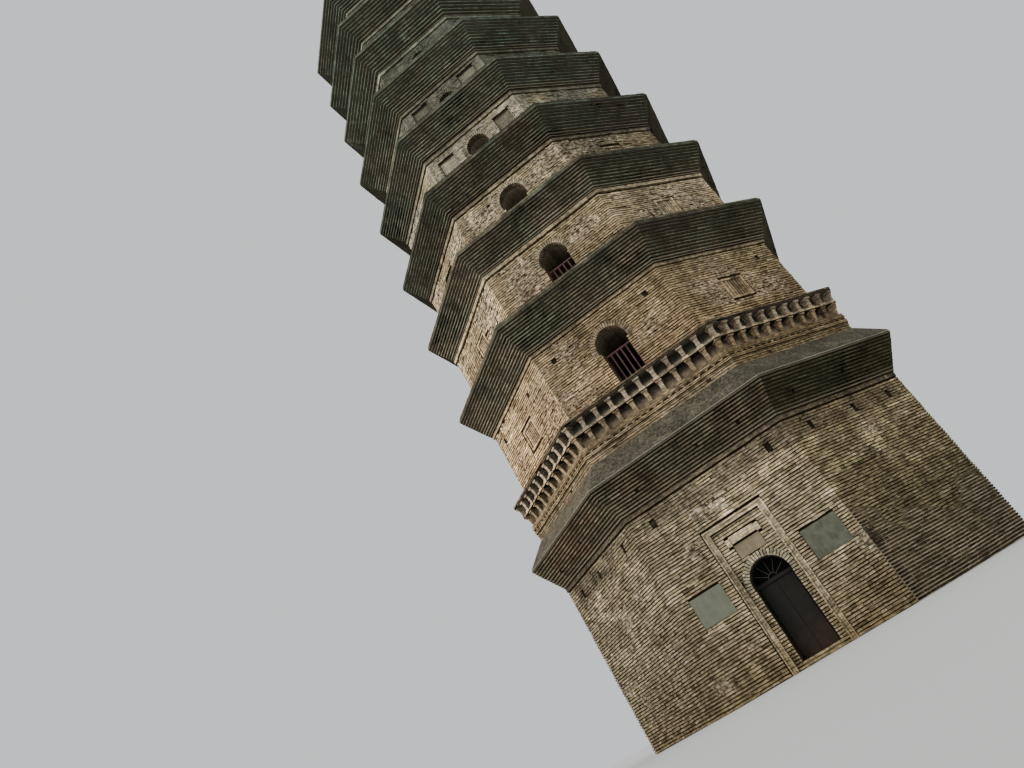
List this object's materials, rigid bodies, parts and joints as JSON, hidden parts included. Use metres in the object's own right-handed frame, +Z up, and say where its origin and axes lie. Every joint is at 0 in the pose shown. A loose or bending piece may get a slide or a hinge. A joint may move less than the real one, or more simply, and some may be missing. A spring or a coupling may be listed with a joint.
{
  "type": "octagonal brick pagoda",
  "caption": "Octagonal multi-storey brick pagoda with corbelled eaves, a bracketed balcony band, arched openings and a ground door with two hinged leaves.",
  "frame": {"origin": "centre line of the tower at ground level", "axes": "+Z up, the ground door faces -Y, so +X is to the right of someone facing the door"},
  "size_m": [11.4838, 11.4838, 33.2],
  "materials": {
    "brick": "weathered grey-tan brick",
    "corbel_brick": "dark weathered brick with lichen",
    "cement": "rough grey cement",
    "stone": "smooth weathered stone",
    "door_paint": "dull dark paint on sheet steel",
    "red_paint": "dull dark red paint",
    "iron": "dark cast iron"
  },
  "bodies": {
    "tower": {"ground_wall_over_door": "brick", "ground_wall_front_left": "brick", "ground_wall_front_right": "brick", "ground_wall_left": "brick", "ground_wall_right": "brick", "door_surround": "brick", "lintel_relief": "brick", "balcony_brackets_lower": "brick", "balcony_brackets_upper": "brick", "wall_2": "brick", "wall_3": "brick", "wall_4": "brick", "wall_5": "brick", "wall_6": "brick", "wall_7": "brick", "wall_8": "brick", "wall_9": "brick", "eave_1": "corbel_brick", "eave_2": "corbel_brick", "eave_3": "corbel_brick", "eave_4": "corbel_brick", "eave_5": "corbel_brick", "eave_6": "corbel_brick", "eave_7": "corbel_brick", "eave_8": "corbel_brick", "eave_9": "corbel_brick", "roof": "corbel_brick", "eave_1_skirt": "cement", "balcony_deck": "cement", "ground_floor": "stone", "door_threshold": "stone", "name_tablet": "stone", "plaque_left": "stone", "plaque_right": "stone", "door_frame": "door_paint", "door_fanlight": "door_paint", "railing_2_front": "red_paint", "railing_2_right": "red_paint", "railing_2_back": "red_paint", "railing_2_left": "red_paint", "railing_3_front": "red_paint", "railing_3_right": "red_paint", "railing_3_back": "red_paint", "railing_3_left": "red_paint", "finial": "iron"},
    "left_leaf": {"door_leaf_left": "door_paint"},
    "right_leaf": {"door_leaf_right": "door_paint"}
  },
  "joints": [
    {"name": "left_leaf_hinge", "type": "hinge", "parent": "tower", "child": "left_leaf", "pos_m": [-0.418, -4.7797, 0.98], "axis": [0, 0, 1], "range_deg": [0, 90]},
    {"name": "right_leaf_hinge", "type": "hinge", "parent": "tower", "child": "right_leaf", "pos_m": [0.418, -4.7797, 0.98], "axis": [0, 0, -1], "range_deg": [0, 90]}
  ]
}
